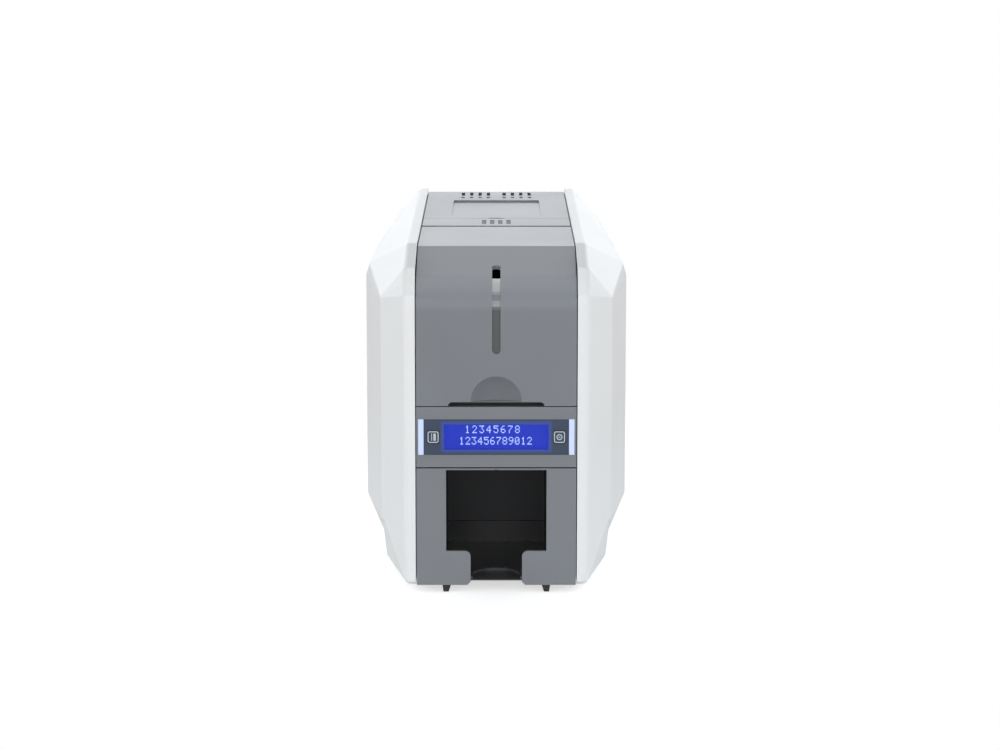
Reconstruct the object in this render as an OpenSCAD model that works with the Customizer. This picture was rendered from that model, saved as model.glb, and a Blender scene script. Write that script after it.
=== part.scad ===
// Desktop ID card printer: a grey centre column between two white side covers.
// Sizes in millimetres. +Z is up, the front faces -Y, and the origin is on the
// resting surface under the middle of the body.
// Depths named _d are measured back from the front face of the column.

/* [Overall] */
// Width over both side covers
body_w = 168; // [160:1:190]
// Depth from the front face to the rear cover
body_d = 384; // [380:1:400]
// Height from the table to the top of the side covers
body_h = 208; // [204:1:222]
// Width of the grey centre column
column_w = 98; // [96:1:104]
// Height that the feet lift the body off the table
foot_h = 4.4; // [3:0.2:8]
// How far the side covers stand above the grey top
cover_rise = 2; // [1:0.5:4]
// Seam between neighbouring outer panels
seam = 0.6; // [0.4:0.1:1]
// Wall of the grey moulded panels
wall = 2.5; // [2:0.1:3]

/* [Output stacker] */
// Height of the front stacker frame
stacker_h = 72.8; // [60:0.5:80]
// Width of the wide part of the opening
mouth_w = 61.3; // [58:0.5:70]
// Width of the finger opening between the two tabs
finger_w = 31.5; // [24:0.5:40]
// Height of the tabs that hold the stack of cards
tab_h = 21.3; // [12:0.5:30]
// Corner radius of the tabs
tab_r = 3.6; // [1:0.2:6]
// Depth of the stacker behind the front face
stacker_d = 98; // [92:1:104]
// Wall of the stacker tray
tray_wall = 2; // [1.6:0.2:3]

/* [Control band] */
// Height of the control band
fascia_h = 37.2; // [32:0.2:44]
// Width of the dark window
window_w = 88.4; // [84:0.2:90]
// Height of the dark window
window_h = 22; // [20:0.5:26]
// Width of each light bar beside the window
light_w = 3.3; // [2:0.1:3.5]
// Visible width of the display
lcd_w = 64.5; // [50:0.5:66]
// Visible height of the display
lcd_h = 16.4; // [12:0.2:18]
// Width of each key
key_w = 7.3; // [6:0.1:8]
// Height of each key
key_h = 7.9; // [6:0.1:10]
// Distance of each key's middle from the centre line
key_x = 38.4; // [38.1:0.1:39]
// Travel of a pressed key
key_travel = 0.6; // [0.3:0.1:1]

/* [Hopper cover] */
// Depth of the bend between the sloping front and the flat top
bend_d = 60; // [50:1:70]
// Slope of the surface in front of the bend, degrees
slope_a = 15; // [10:1:20]
// Radius of the rounded shoulder
shoulder_r = 20; // [14:1:26]
// Depth of the cover's rear edge
door_d = 166; // [158:1:168]
// Radius of the cover's rounded rear edge, about its hinge
door_edge_r = 6; // [5:0.5:7]
// Width of the card level slot
level_w = 5.1; // [4:0.1:7]
// Height of the lower end of the card level slot
level_z = 147.5; // [140:0.5:155]
// Width of the thumb recess
thumb_w = 31; // [26:0.5:36]
// Depth of the thumb recess
thumb_d = 7; // [3:0.5:7]
// Width of the manual card slot
slot_w = 58.2; // [56:0.2:64]
// Height of the manual card slot
slot_h = 2.3; // [1.6:0.1:3]

/* [Top cover] */
// Depth of the strip between the hopper cover and the top cover
latch_d = 40; // [36:1:44]
// Travel of the pressed latch strip
latch_travel = 2; // [1:0.2:3]
// Grips on the latch strip
grip_count = 4; // [2:1:6]
// Distance between grips
grip_pitch = 5.4; // [5:0.1:7]
// Size of the shallow recess across the top cover
recess_w = 60; // [50:1:70]
// Distance of the shallow recess from the top cover's front edge
recess_lead = 10.8; // [8:0.2:20]
// Depth of the shallow recess at its rear step
recess_t = 1.4; // [0.6:0.1:1.6]
// Air slots in each of the two groups
vent_count = 4; // [3:1:5]
// Distance between air slots
vent_pitch = 6; // [5.5:0.1:7]
// Width of an air slot
vent_w = 2.4; // [1.6:0.1:3]
// Length of an air slot
vent_l = 20; // [12:1:22]

/* [Side covers] */
// Wall of the side covers
cover_wall = 2.4; // [2:0.1:2.8]
// Radius of the side covers' edges
cover_r = 4; // [3:0.2:5]
// Half width at the edge of the narrow front strip
lip_x = 57.5; // [56:0.5:60]
// Half width at the front crease
knee_x = 71.5; // [68:0.5:74]
// Depth of the front crease
knee_d = 35; // [30:1:45]
// Depth from which the side covers have their full width
belly_d = 130; // [115:1:145]
// Height of the lower edge of the full width
belly_z = 32; // [28:1:40]

/* [Card path] */
// Height of the underside of a card in the path
path_z = 116.6; // [116.5:0.1:116.9]
// Width of the path for a card
card_w = 54.6; // [54.2:0.1:56]
// Length of a card with clearance
card_l = 86.2; // [86:0.1:88]
// Thickness of a card with clearance
card_t = 0.8; // [0.8:0.05:1.2]
// Radius of the driven rollers
roller_r = 7; // [6:0.2:8]
// Radius of the roller shafts
shaft_r = 3; // [2.5:0.1:3.5]
// Wall of the two steel side plates
plate_t = 1.5; // [1:0.1:2]

/* [Gears] */
// Module of the gears
gear_m = 1; // [1:0.01:1.02]
// Width of the gears
gear_w = 5; // [4:0.5:7]
// Teeth of the roller gears
roller_teeth = 20; // [20:1:20]
// Teeth of the front idler gear
front_teeth = 62; // [62:1:62]
// Teeth of the middle idler gear
middle_teeth = 63; // [63:1:63]
// Teeth of the rear idler gear
rear_teeth = 50; // [50:1:50]
// Teeth of the motor pinion
pinion_teeth = 16; // [14:1:18]
// Teeth of the take-up spool
spool_teeth = 28; // [28:1:28]
// Teeth of the ribbon motor pinion
ribbon_teeth = 12; // [12:1:12]

/* [Hidden] */

$fn = 48;
eps = 0.01;          // overlap of cutting bodies
fit = 0.05;          // radial clearance of a shaft in its hole
gap = 0.3;           // clearance between neighbouring pieces
grey = [0.50, 0.52, 0.54];
pale_grey = [0.64, 0.65, 0.67];
white = [0.93, 0.94, 0.95];
black = [0.09, 0.09, 0.10];
steel = [0.72, 0.73, 0.75];

// Heights of the seams in the column
column_x = (column_w - seam) / 2;
cover_x = (column_w + seam) / 2;
top_z = body_h - cover_rise;
stacker_z = foot_h + stacker_h;
fascia_z = stacker_z + seam + 0.2;
fascia_top = fascia_z + fascia_h;
door_z = fascia_top + seam;

// Side plates and the cheeks of the covers that swing outside them
cheek_t = 2;
cheek_gap = 1.2;
plate_x = column_x - cheek_t - cheek_gap;
plate_in = plate_x - plate_t;
floor_t = 3;
floor_z = foot_h + floor_t;
plate_d = 4;

// Hinges of the two covers
pin_r = 1.5;
door_hinge_d = door_d - door_edge_r;
door_hinge_z = top_z - door_edge_r;
lid_d = door_d + latch_d + 2 * seam;
lid_edge_r = 6.5;
lid_end_d = body_d - 4;
lid_hinge_d = lid_end_d - lid_edge_r;
lid_hinge_z = top_z - lid_edge_r;
step_d = lid_end_d - 62;
recess_l = step_d - lid_d - recess_lead;

// Shoulder of the hopper cover
shoulder_z = top_z - (bend_d - shoulder_r * (1 - sin(slope_a))) * tan(slope_a)
    - shoulder_r * cos(slope_a);

// Card path: rollers in a row, and the gears that join them
roller_z = path_z - roller_r;
pick_d = 75;
feed_d = pick_d + gear_m * (roller_teeth + front_teeth);
platen_d = feed_d + gear_m * (roller_teeth + middle_teeth);
rear_d = platen_d + gear_m * (roller_teeth + rear_teeth);
front_idler_d = (pick_d + feed_d) / 2;
middle_idler_d = (feed_d + platen_d) / 2;
rear_idler_d = (platen_d + rear_d) / 2;
motor_z = roller_z - gear_m * (middle_teeth + pinion_teeth) / 2;
gear_x = plate_x + 3;
pinch_r = 5;
clean_r = 7;
clean_d = 118;

// Ribbon
spool_z = 160;
takeup_d = 188;
supply_d = 300;
core_r = 8;
roll_r = 16;
spool_w = 58;
ribbon_motor_d = takeup_d - gear_m * (spool_teeth + ribbon_teeth) / 2;

function from_front(d) = d - body_d / 2;
function reversed(list) = [for (i = [len(list) - 1 : -1 : 0]) list[i]];
function arc(c, r, a0, a1, n) =
    [for (i = [0 : n]) c + r * [cos(a0 + (a1 - a0) * i / n), sin(a0 + (a1 - a0) * i / n)]];

// Extrudes a side view, drawn as [depth, height], to a width centred on the middle
module across(w) {
    translate([0, from_front(0), 0])
        rotate([90, 0, 90])
            linear_extrude(height = w, center = true)
                children();
}

// Extrudes a side view between two places along X
module between(x0, x1) {
    translate([(x0 + x1) / 2, 0, 0])
        across(abs(x1 - x0))
            children();
}

// Extrudes a front view, drawn as [x, height], between two depths
module behind(d0, d1) {
    translate([0, from_front(d1), 0])
        rotate([90, 0, 0])
            linear_extrude(height = d1 - d0)
                children();
}

module block(x0, x1, d0, d1, z0, z1) {
    translate([x0, from_front(d0), z0])
        cube([x1 - x0, d1 - d0, z1 - z0]);
}

module rod(r, x0, x1, d, z) {
    translate([min(x0, x1), from_front(d), z])
        rotate([0, 90, 0])
            cylinder(r = r, h = abs(x1 - x0));
}

module both_sides() {
    children();
    mirror([1, 0, 0])
        children();
}

// Rectangle with rounded corners about the middle [cx, cy]
module rounded(cx, cy, w, h, r) {
    translate([cx, cy]) {
        square([w - 2 * r, h], center = true);
        square([w, h - 2 * r], center = true);
        for (x = [-1, 1], y = [-1, 1])
            translate([x * (w / 2 - r), y * (h / 2 - r)])
                circle(r = r);
    }
}

// ---------------------------------------------------------------- housing

module base_frame() {
    front = 12;
    color(black)
        difference() {
            union() {
                block(-column_x, column_x, front, lid_end_d - wall, foot_h, floor_z);
                // Cross wall that closes the back of the card stacker
                block(-plate_in + gap, plate_in - gap, stacker_d + gap, stacker_d + gap + wall,
                      floor_z - eps, path_z - 48);
                // Posts that carry the main board
                for (x = [-1, 1], d = [board_d0 + 8, board_d1 - 8])
                    translate([x * (board_w / 2 - 5), from_front(d), floor_z - eps])
                        cylinder(r = 3, h = board_z - floor_z + eps);
                // Feet of the two side plates
                for (x = [-1, 1], d = [30, 200, lid_end_d - 50])
                    block(x * plate_in - (x > 0 ? 6 : 0), x * plate_in + (x > 0 ? 0 : 6),
                          d, d + 14, floor_z - eps, floor_z + 7);
            }
            // Slots that let air in from below
            for (i = [0 : 7])
                block(-26, 26, 130 + 8 * i, 133 + 8 * i, foot_h - eps, floor_z + eps);
        }
}

board_w = 74;
board_l = 115.2;
board_d1 = lid_end_d - wall - gap;
board_d0 = board_d1 - board_l;
board_z = floor_z + 6;
board_t = 1.6;

ear_r = 2.9;
latch_body = 10;
latch_floor_z = top_z - latch_body - latch_travel - gap;

// Side view of a side plate: it follows the covers from inside
module plate_outline() {
    skin = wall + 1.6;
    polygon(concat(
        [[plate_d, floor_z], [plate_d, shoulder_z]],
        arc([shoulder_r, shoulder_z], shoulder_r - skin, 180, 90 + slope_a, 10),
        [[bend_d + skin * tan(slope_a / 2), top_z - skin]],
        // Ears inside the rounded edges of the covers, with necks that let them swing
        [[door_hinge_d - ear_r, top_z - skin]],
        arc([door_hinge_d, door_hinge_z], ear_r, 120, -80, 8),
        [[door_hinge_d + 0.8, door_hinge_z - door_edge_r - 0.6], [door_d + seam, latch_floor_z],
         [lid_d + wall + gap, latch_floor_z], [lid_d + wall + 4, top_z - skin]],
        [[lid_hinge_d - ear_r, top_z - skin]],
        arc([lid_hinge_d, lid_hinge_z], ear_r, 120, -80, 8),
        [[lid_hinge_d + 0.6, lid_hinge_z - lid_edge_r - 0.6],
         [lid_end_d - 8, lid_hinge_z - 20], [lid_end_d - 8, floor_z]]
    ));
}

// Holes of the shafts in a side plate, with the larger seats of the bushes
bush_r = 5;
shafts = [pick_d, feed_d, platen_d, rear_d];

module side_plate() {
    difference() {
        between(plate_in, plate_x)
            plate_outline();
        for (d = shafts)
            rod(bush_r, plate_in - 1, plate_x + 1, d, roller_z);
        rod(pinch_r - 2 + fit, plate_in - 1, plate_x + 1, feed_d, pinch_z);
        rod(pinch_r - 2 + fit, plate_in - 1, plate_x + 1, rear_d, pinch_z);
        rod(pinch_r - 2 + fit, plate_in - 1, plate_x + 1, clean_d, clean_z);
        rod(2 + fit, plate_in - 1, plate_x + 1, flap_d, flap_z);
        rod(pin_r, plate_in - 1, plate_x + 1, door_hinge_d, door_hinge_z);
        rod(pin_r, plate_in - 1, plate_x + 1, lid_hinge_d, lid_hinge_z);
        children();
    }
}

module left_side_plate() {
    color(steel)
        mirror([1, 0, 0])
            side_plate() {
                for (d = [front_idler_d, middle_idler_d, rear_idler_d])
                    rod(2, plate_in - 1, plate_x + 1, d, roller_z);
                rod(11, plate_in - 1, plate_x + 1, middle_idler_d, motor_z);
                rod(core_r + 1, plate_in - 1, plate_x + 1, takeup_d, spool_z);
                rod(4, plate_in - 1, plate_x + 1, ribbon_motor_d, spool_z);
            }
}

module right_side_plate() {
    color(steel)
        side_plate();
}

pinch_z = path_z + card_t + pinch_r;
clean_z = path_z + card_t + clean_r;
flap_l = 23;
flap_lead = 11;         // free path between the flap and the platen roller
flap_d = platen_d - roller_r - flap_lead - flap_l;
flap_z = path_z - 3;

// Corner points of a side cover's upper body, as [x, depth, height]
belly_x = body_w / 2;
cover_back = body_d - 3;
upper_corners = [
    [lip_x, 0, 40], [lip_x, 0, shoulder_z + 1], [lip_x, 4.2, shoulder_z + 7.5],
    [lip_x, 8.6, shoulder_z + 14.5], [lip_x, 14, shoulder_z + 21],
    [lip_x, bend_d, body_h], [lip_x, cover_back, body_h],
    [knee_x, knee_d, 40], [knee_x, knee_d, shoulder_z + 2],
    [belly_x - 2.5, belly_d - 12, top_z - 20], [belly_x, belly_d, top_z - 28],
    [belly_x, belly_d, belly_z + cover_r], [belly_x, cover_back, belly_z + cover_r],
    [belly_x, cover_back, top_z - 38], [knee_x + 2, cover_back, top_z - 21],
    [knee_x + 2, belly_d - 30, belly_z - 12], [knee_x + 2, cover_back, belly_z - 12]
];
// Corner points of the narrower body below it
lower_corners = [
    [lip_x - 1, 0, foot_h], [knee_x - 2, 2 * knee_d, foot_h], [knee_x - 1, cover_back, foot_h],
    [lip_x, 0, 44], [knee_x, knee_d, 44], [knee_x, cover_back, 44]
];

// A corner ball's centre, drawn in from the outer faces by the edge radius
function ball_at(p) = [
    p[0] - cover_r,
    from_front(p[1]) + (p[1] < 1 ? cover_r : p[1] >= cover_back ? -cover_r : 0),
    p[2] + (p[2] > top_z ? -cover_r : p[2] <= foot_h ? cover_r : 0)
];

module cover_body(corners, r) {
    hull()
        for (p = corners) {
            translate(ball_at(p))
                sphere(r = r, $fn = 20);
            translate([plate_in, ball_at(p)[1], ball_at(p)[2]])
                sphere(r = r, $fn = 12);
        }
}

module cover_form(r) {
    cover_body(upper_corners, r);
    cover_body(lower_corners, r);
}

module side_cover() {
    post_r = 4;
    difference() {
        union() {
            difference() {
                cover_form(cover_r);
                cover_form(cover_r - cover_wall);
            }
            // Screw posts that meet the side plate
            for (d = [30, lid_end_d - 22], z = [44, 150])
                rod(post_r, plate_x + gap, (d < knee_d ? lip_x + 8 : belly_x - cover_wall + 1), d, z);
        }
        difference() {
            block(-body_w, cover_x, -10, body_d + 10, -10, body_h + 10);
            for (d = [30, lid_end_d - 22], z = [44, 150])
                rod(post_r + eps, plate_x + gap, cover_x + 1, d, z);
        }
    }
}

module left_side_cover() {
    color(white)
        mirror([1, 0, 0])
            side_cover();
}

module right_side_cover() {
    color(white)
        side_cover();
}

// ---------------------------------------------------------------- covers

// Side view of the hopper cover's surface, a distance t inside its outer face
function door_line(t) = concat(
    [[t, door_z]],
    arc([shoulder_r, shoulder_z], shoulder_r - t, 180, 90 + slope_a, 12),
    [[bend_d + t * tan(slope_a / 2), top_z - t]],
    arc([door_hinge_d, door_hinge_z], door_edge_r - t, 90, 0, 8)
);

dish_wall = 1.6;

module hopper_cover() {
    rim = 8;
    dish_r = (pow(thumb_w / 2, 2) + pow(thumb_d, 2)) / (2 * thumb_d);
    dish_z = door_z + slot_h + 0.4;
    color(grey)
        difference() {
            union() {
                across(2 * column_x)
                    polygon(concat(door_line(0), reversed(door_line(wall))));
                // Cheeks that stiffen the sides and carry the hinge
                both_sides()
                    between(plate_x + cheek_gap, column_x) {
                        polygon(concat(door_line(0), [
                            [door_hinge_d + door_edge_r, door_hinge_z - 2],
                            [door_hinge_d - 6, door_hinge_z - 5],
                            [bend_d + rim * tan(slope_a / 2), top_z - rim],
                            [shoulder_r, shoulder_z + shoulder_r - rim],
                            [rim, shoulder_z], [rim, door_z]
                        ]));
                        translate([door_hinge_d, door_hinge_z])
                            circle(r = door_edge_r - 1);
                    }
                // Inner wall of the thumb recess
                intersection() {
                    translate([0, from_front(thumb_d - dish_r), dish_z])
                        sphere(r = dish_r + dish_wall);
                    block(-thumb_w, thumb_w, eps, thumb_d + dish_wall, door_z, dish_z + thumb_w);
                }
            }
            // Thumb recess: a ball pressed into the front, open only upwards of its sill
            intersection() {
                translate([0, from_front(thumb_d - dish_r), dish_z])
                    sphere(r = dish_r);
                block(-thumb_w, thumb_w, -dish_r, thumb_d + 1, dish_z, dish_z + thumb_w);
            }
            // Notch over the manual card slot
            behind(-1, wall + thumb_d + 4)
                polygon([[-slot_w / 2, door_z - 1], [-slot_w / 2, door_z + slot_h * 0.5],
                         [-slot_w / 2 + 1.5, door_z + slot_h], [slot_w / 2 - 1.5, door_z + slot_h],
                         [slot_w / 2, door_z + slot_h * 0.5], [slot_w / 2, door_z - 1]]);
            // Card level slot, from the flat front up over the shoulder
            level_cut(level_w, level_z, top_z);
            // Round hole at the upper end of the slot
            translate([0, from_front(level_end_d), shoulder_z + 4])
                cylinder(r = level_w / 2 + 0.3, h = body_h);
            both_sides()
                rod(pin_r + fit, plate_x, column_x + 1, door_hinge_d, door_hinge_z);
        }
}

level_end_d = 27;

// Card level slot: cut back from the front, up over the shoulder
module level_cut(w, z0, z1) {
    behind(-1, level_end_d) {
        translate([0, z0 + w / 2])
            circle(r = w / 2);
        translate([-w / 2, z0 + w / 2])
            square([w, z1 - z0]);
    }
}

module level_window() {
    inset = 1;
    glass_t = 1.2;
    top_a = 90 + slope_a;
    color([0.75, 0.78, 0.8, 0.6])
        intersection() {
            across(level_w - 2 * 0.05)
                polygon(concat(
                    [[inset, level_z], [inset, shoulder_z]],
                    arc([shoulder_r, shoulder_z], shoulder_r - inset, 180, top_a + 8, 12),
                    reversed(concat(
                        [[inset + glass_t, level_z], [inset + glass_t, shoulder_z]],
                        arc([shoulder_r, shoulder_z], shoulder_r - inset - glass_t, 180, top_a + 8, 12)))
                ));
            level_cut(level_w - 2 * 0.05, level_z + 0.05, top_z);
        }
}

// Hinge pins: one each side of both covers, pressed into the side plates
module hinge_pins() {
    head_r = 2.6;
    head_t = 1;
    color(steel)
        both_sides()
            for (h = [[door_hinge_d, door_hinge_z], [lid_hinge_d, lid_hinge_z]]) {
                rod(pin_r, plate_in - eps, column_x, h[0], h[1]);
                rod(head_r, plate_in - head_t, plate_in, h[0], h[1]);
            }
}

module latch_bar() {
    d0 = door_d + seam;
    d1 = lid_d - seam;
    body_t = latch_body;
    stem_r = 2.5;
    stem_l = 14;
    grip_l = 22;
    grip_w = 2.8;
    color(pale_grey) {
        difference() {
            block(-column_x, column_x, d0, d1, top_z - body_t, top_z);
            block(-column_x + wall, column_x - wall, d0 + wall, d1 - wall,
                  top_z - body_t - 1, top_z - wall);
            // Grips pressed into the top
            for (i = [0 : grip_count - 1])
                block((i - (grip_count - 1) / 2) * grip_pitch - grip_w / 2,
                      (i - (grip_count - 1) / 2) * grip_pitch + grip_w / 2,
                      (d0 + d1 - grip_l) / 2, (d0 + d1 + grip_l) / 2, top_z - 0.8, top_z + 1);
            // Room above the side plates
            for (x = [-1, 1])
                block(x * (plate_x + plate_in) / 2 - plate_t, x * (plate_x + plate_in) / 2 + plate_t,
                      d0 - 1, d1 + 1, top_z - body_t - 1, top_z - wall - 0.6);
        }
        // Stems that slide in the bracket below
        for (x = [-1, 1])
            translate([x * 30, from_front((d0 + d1) / 2), top_z - wall - stem_l])
                cylinder(r = stem_r, h = stem_l + eps);
    }
}

module top_cover() {
    rim = 9;
    notch_w = 13.6;
    color(pale_grey)
        difference() {
            union() {
                across(2 * column_x)
                    polygon(concat(
                        [[lid_d, top_z], [lid_end_d - lid_edge_r, top_z]],
                        arc([lid_hinge_d, lid_hinge_z], lid_edge_r, 90, 0, 8),
                        reversed(arc([lid_hinge_d, lid_hinge_z], lid_edge_r - wall, 90, 0, 8)),
                        [[lid_d + wall, top_z - wall], [lid_d + wall, top_z - rim], [lid_d, top_z - rim]]
                    ));
                // Side cheeks with the hinge eyes
                both_sides()
                    between(plate_x + cheek_gap, column_x) {
                        polygon([[lid_d, top_z], [lid_hinge_d, top_z], [lid_hinge_d, lid_hinge_z - 5],
                                 [lid_hinge_d - 8, top_z - rim], [lid_d, top_z - rim]]);
                        translate([lid_hinge_d, lid_hinge_z])
                            circle(r = lid_edge_r - 1);
                    }
                // Thicker floor under the shallow recess
                block(-recess_w / 2 - wall, recess_w / 2 + wall, step_d - recess_l - wall,
                      step_d + wall, top_z - wall - recess_t, top_z - wall + eps);
            }
            // Shallow recess that runs out towards the front
            across(recess_w)
                polygon([[step_d, top_z - recess_t], [step_d, top_z + 1],
                         [step_d - recess_l, top_z + 1], [step_d - recess_l, top_z - 0.2]]);
            // Finger notch in the front edge
            translate([0, from_front(lid_d - 3), top_z - 1.2])
                cylinder(r = notch_w / 2, h = 3);
            // Air slots in two groups
            for (side = [-1, 1], i = [0 : vent_count - 1])
                translate([side * (11.2 / 2 + i * vent_pitch), 0, 0]) {
                    block(-vent_w / 2, vent_w / 2, step_d + 30, step_d + 30 + vent_l,
                          top_z - wall - 1, top_z + 1);
                    block(-vent_w / 2, vent_w / 2, step_d + 12, step_d + 22,
                          top_z - 0.6, top_z + 1);
                }
            both_sides()
                rod(pin_r + fit, plate_x, column_x + 1, lid_hinge_d, lid_hinge_z);
        }
}

// Rear sockets, from left to right as [x, height above the board]
usb_x = 24;
lan_x = 4;
power_x = -20;
switch_x = -20;
switch_z = 70;

module rear_cover() {
    clear = lid_edge_r + 0.5;
    color(pale_grey)
        difference() {
            union() {
                across(2 * column_x)
                    polygon(concat(
                        [[body_d - 4, foot_h], [body_d, foot_h], [body_d, lid_hinge_z - 6]],
                        [[body_d - 1.5, lid_hinge_z], [body_d - 4 + 0.6, lid_hinge_z],
                         [body_d - wall - 1.5, lid_hinge_z - 8], [body_d - 4, lid_hinge_z - 10]]
                    ));
                // Side flanges that reach the side plates
                both_sides()
                    block(plate_x + gap, column_x, lid_end_d - 14, lid_end_d + eps, floor_z + 30, 150);
            }
            // Sockets
            rear_cut(usb_x, board_z + board_t + 6, usb_w + 1, usb_h + 1);
            rear_cut(lan_x, board_z + board_t + 7, lan_w + 1, lan_h + 1);
            translate([power_x, from_front(body_d - 5), board_z + board_t + 7])
                rotate([-90, 0, 0])
                    cylinder(r = power_r + 0.4, h = 7);
            rear_cut(switch_x, switch_z, switch_w + 0.6, switch_h + 0.6);
            // Air slots
            for (i = [0 : 6])
                rear_cut(0, 104 + 9 * i, 60, 3);
            across(2 * body_w)
                translate([lid_hinge_d, lid_hinge_z])
                    circle(r = clear);
        }
}

module rear_cut(x, z, w, h) {
    block(x - w / 2, x + w / 2, body_d - 5, body_d + 1, z - h / 2, z + h / 2);
}

usb_w = 12;
usb_h = 11;
lan_w = 16;
lan_h = 13.4;
power_r = 5.5;
switch_w = 12;
switch_h = 19;
socket_d = 16;

// ---------------------------------------------------------------- control band

pane_t = 1.6;
pane_z = fascia_z + 7.6 + window_h / 2;
key_z = pane_z;

module control_fascia() {
    pocket_w = window_w + 2 * light_w + 2 * 0.1;
    depth = 9;
    color(grey)
        difference() {
            block(-column_x, column_x, 0, depth, fascia_z, fascia_top);
            block(-column_x + wall, column_x - wall, wall, depth + 1, fascia_z + wall, fascia_top - wall);
            block(-pocket_w / 2, pocket_w / 2, -1, wall + 1, pane_z - window_h / 2, pane_z + window_h / 2);
            // The rear half clears the side plates
            both_sides()
                block(plate_in - gap, column_x - wall / 2, plate_d - gap, depth + 1, 0, body_h);
        }
}

module panel_window() {
    color([0.22, 0.27, 0.34, 0.8])
        difference() {
            block(-window_w / 2, window_w / 2, 0.2, 0.2 + pane_t,
                  pane_z - window_h / 2 + 0.05, pane_z + window_h / 2 - 0.05);
            for (x = [-1, 1])
                behind(-1, pane_t + 1)
                    rounded(x * key_x, key_z, key_w + 0.5, key_h + 0.5, 1.2);
        }
}

module light_bars() {
    color([0.82, 0.86, 0.97])
        both_sides()
            block(window_w / 2 + 0.05, window_w / 2 + light_w, 0.1, wall + 0.9,
                  pane_z - window_h / 2 + 0.05, pane_z + window_h / 2 - 0.05);
}

module key(x) {
    flange = 0.8;
    color([0.22, 0.27, 0.34]) {
        behind(0.1, pane_t + 1.2)
            rounded(x, key_z, key_w, key_h, 1);
        behind(pane_t + 0.5, pane_t + 1.3)
            rounded(x, key_z, key_w + 2 * flange, key_h + 2 * flange, 1.4);
        // Stem over the switch on the board
        translate([x, from_front(board_front - key_travel - 1.4), key_z])
            rotate([90, 0, 0])
                cylinder(r = 1.5, h = board_front - key_travel - 1.4 - pane_t - 1.2);
    }
}

board_front = 9.6;

module left_key() {
    key(-key_x);
}

module right_key() {
    key(key_x);
}

module lcd_bezel() {
    rim = 1.65;
    color(black)
        difference() {
            block(-lcd_w / 2 - rim, lcd_w / 2 + rim, pane_t + 0.5, board_front - 0.1,
                  pane_z - window_h / 2 + gap, pane_z + window_h / 2 - gap);
            block(-lcd_w / 2, lcd_w / 2, 0, pane_t + 1.2, pane_z - lcd_h / 2, pane_z + lcd_h / 2);
            block(-lcd_w / 2 - 0.8, lcd_w / 2 + 0.8, pane_t + 1.1, board_front, pane_z - lcd_h / 2 - 1.2,
                  pane_z + lcd_h / 2 + 1.2);
        }
}

module lcd_glass() {
    color([0.12, 0.24, 0.86])
        block(-lcd_w / 2 - 0.75, lcd_w / 2 + 0.75, pane_t + 1.1, board_front - 0.2,
              pane_z - lcd_h / 2 - 1.15, pane_z + lcd_h / 2 + 1.15);
}

module panel_board() {
    color([0.05, 0.32, 0.16]) {
        block(-plate_in + 0.8, plate_in - 0.8, board_front, board_front + 1.6,
              fascia_z + wall + 0.3, fascia_top - wall - 0.3);
        // Push switches behind the keys
        for (x = [-1, 1])
            block(x * key_x - 2, x * key_x + 2, board_front - 1.2, board_front + eps,
                  key_z - 3, key_z + 3);
    }
}

// Black lip of the manual card slot, behind the lower edge of the hopper cover
module card_slot_plate() {
    slot_z = path_z + card_t / 2;
    color(black)
        difference() {
            block(-slot_w / 2 - 4, slot_w / 2 + 4, thumb_d + dish_wall + gap, 12, fascia_top + 0.2,
                  slot_z + 3);
            across(card_w)
                polygon([[0, slot_z - 1.4], [0, slot_z + 1.4], [10, slot_z + 0.9],
                         [13, slot_z + 0.9], [13, slot_z - 0.9], [10, slot_z - 0.9]]);
        }
}

// ---------------------------------------------------------------- output stacker

module stacker_frame() {
    return_d = 12;
    beam = 2;
    color(grey)
        difference() {
            union() {
                behind(0, wall)
                    translate([-column_x, foot_h])
                        square([2 * column_x, stacker_h]);
                // Side returns
                both_sides()
                    block(column_x - 2, column_x, 0, return_d, foot_h, stacker_z);
                // Beam under the control band
                block(-column_x, column_x, 0, plate_d - gap, stacker_z - beam, stacker_z);
            }
            // Wide part of the opening
            behind(-1, wall + 3)
                translate([-mouth_w / 2, foot_h + tab_h])
                    square([mouth_w, stacker_h - tab_h - 1]);
            // Finger opening between the tabs
            behind(-1, wall + 3) {
                translate([-finger_w / 2, foot_h - 1])
                    square([finger_w, tab_h + 2]);
                both_sides() {
                    // Rounded upper corner of each tab
                    difference() {
                        translate([finger_w / 2 - eps, foot_h + tab_h - tab_r])
                            square([tab_r, tab_r + 1]);
                        translate([finger_w / 2 + tab_r, foot_h + tab_h - tab_r])
                            circle(r = tab_r);
                    }
                    // Small bevel at the foot of each tab
                    polygon([[finger_w / 2 - 1, foot_h - 1], [finger_w / 2 + 3, foot_h - 1],
                             [finger_w / 2, foot_h + 2]]);
                }
            }
            // Small notch in the middle of the beam
            block(-0.8, 0.8, -1, wall + 3, stacker_z - beam - 1, stacker_z - 0.7);
        }
}

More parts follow.
